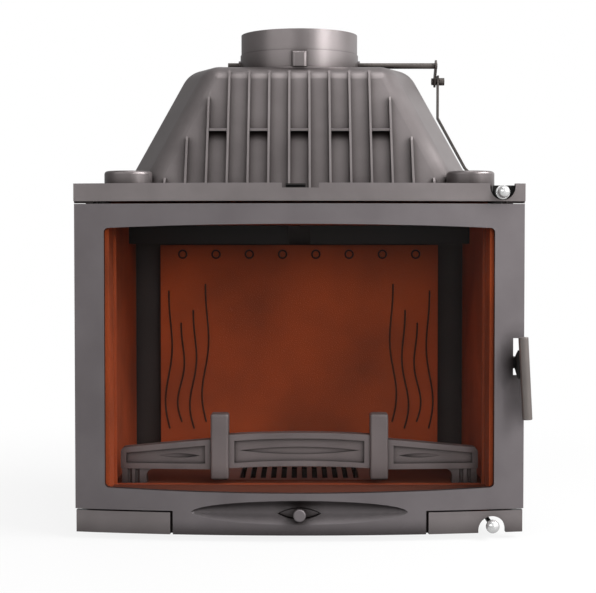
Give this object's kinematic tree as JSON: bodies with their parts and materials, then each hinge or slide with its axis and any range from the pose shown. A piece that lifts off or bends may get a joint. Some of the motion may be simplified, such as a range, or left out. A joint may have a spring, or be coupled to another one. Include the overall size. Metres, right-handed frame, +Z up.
{
  "type": "fireplace insert",
  "caption": "Cast-iron fireplace insert with a bowed glass door on left pins, ribbed smoke dome, flue collar with a rod-driven damper, pull air valve, air slide, log guard and grate.",
  "frame": {"origin": "middle of the footprint at the floor under the feet", "axes": "+Z up, front with the door faces -Y, +X to the right seen from the front"},
  "size_m": [0.7074, 0.487, 0.8147],
  "materials": {
    "cast_grey": "satin grey heat-resistant coating on cast iron",
    "door_grey": "satin grey heat-resistant coating on cast iron",
    "fire_plate": "bare cast iron darkened by heat",
    "guard_iron": "dark cast iron, satin",
    "carcass_iron": "dark coated cast iron, matte",
    "black_metal": "matt black",
    "grip_grey": "satin dark grey-brown",
    "chrome": "polished",
    "steel": "plain mild steel",
    "zinc": "zinc plated",
    "glass": "clear ceramic glass",
    "seal": "braided dark seal"
  },
  "bodies": {
    "body": {"base_plate": "carcass_iron", "support_feet": "carcass_iron", "right_side_wall": "carcass_iron", "left_side_wall": "carcass_iron", "rear_wall": "carcass_iron", "front_frame": "carcass_iron", "left_corner_strip": "cast_grey", "right_corner_strip": "cast_grey", "top_plate": "cast_grey", "tie_rods": "steel", "hinge_pins": "steel", "right_liner": "fire_plate", "left_liner": "fire_plate", "fire_back_plate": "fire_plate", "hearth_plate": "fire_plate", "ash_pan": "steel", "baffle_rails": "fire_plate", "baffle_plates": "fire_plate", "smoke_dome": "cast_grey", "dome_seal": "seal", "dome_bolts": "zinc", "flue_collar": "cast_grey", "collar_bolts": "zinc", "damper_rod_guides": "black_metal", "top_clip": "black_metal", "air_slide_rails": "steel", "latch_keeper": "steel"},
    "door": {"door_frame": "door_grey", "hinge_bushes": "steel", "door_glass": "glass", "glass_gasket": "seal", "door_inner_frame": "carcass_iron", "inner_frame_screws": "zinc", "door_rope_seal": "seal", "handle_pivot_pin": "steel", "air_valve_guide": "steel"},
    "handle": {"handle_lever": "black_metal", "handle_grip": "grip_grey", "grip_screw": "zinc"},
    "air_valve": {"air_valve_leaf": "steel", "air_valve_knob": "black_metal", "air_valve_stem": "steel", "air_valve_stop": "zinc"},
    "damper": {"damper_shaft": "steel", "damper_flap": "carcass_iron", "damper_screws": "zinc", "damper_crank": "steel", "crank_bolt": "steel"},
    "damper_link": {"damper_link": "steel"},
    "damper_pull": {"damper_rod": "steel", "damper_ball_knob": "chrome"},
    "air_pull": {"air_pull_rod": "steel", "air_ball_knob": "chrome", "air_shutter": "steel"},
    "grate": {"fire_grate": "guard_iron"},
    "guard": {"log_guard": "guard_iron"}
  },
  "joints": [
    {"name": "door_turn", "type": "hinge", "parent": "body", "child": "door", "pos_m": [-0.304, -0.185, 0.28], "axis": [0, 0, -1], "range_deg": [0, 105]},
    {"name": "handle_turn", "type": "hinge", "parent": "door", "child": "handle", "pos_m": [0.338, -0.187, 0.273], "axis": [-1, 0, 0], "range_deg": [0, 24]},
    {"name": "air_valve_pull", "type": "slide", "parent": "door", "child": "air_valve", "axis": [0, -1, 0], "range_m": [0, 0.019]},
    {"name": "damper_turn", "type": "hinge", "parent": "body", "child": "damper", "pos_m": [0, 0.075, 0.764], "axis": [-1, 0, 0], "range_deg": [0, 90]},
    {"name": "link_turn", "type": "hinge", "parent": "damper", "child": "damper_link", "pos_m": [0.2405, 0.0994, 0.7396], "axis": [-1, 0, 0], "range_deg": [-91, 1]},
    {"name": "damper_pull", "type": "slide", "parent": "body", "child": "damper_pull", "axis": [0, -1, 0], "range_m": [0, 0.049]},
    {"name": "air_pull", "type": "slide", "parent": "body", "child": "air_pull", "axis": [0, -1, 0], "range_m": [0, 0.05]},
    {"name": "grate_lift", "type": "slide", "parent": "body", "child": "grate", "axis": [0, 0, 1], "range_m": [0, 0.06]},
    {"name": "guard_lift", "type": "slide", "parent": "body", "child": "guard", "axis": [0, 0, 1], "range_m": [0, 0.1]}
  ],
  "couplings": [
    {"joint": "link_turn", "follows": "damper_turn", "ratio": -1},
    {"joint": "damper_pull", "follows": "damper_turn", "m_per_rad": 0.031061}
  ]
}
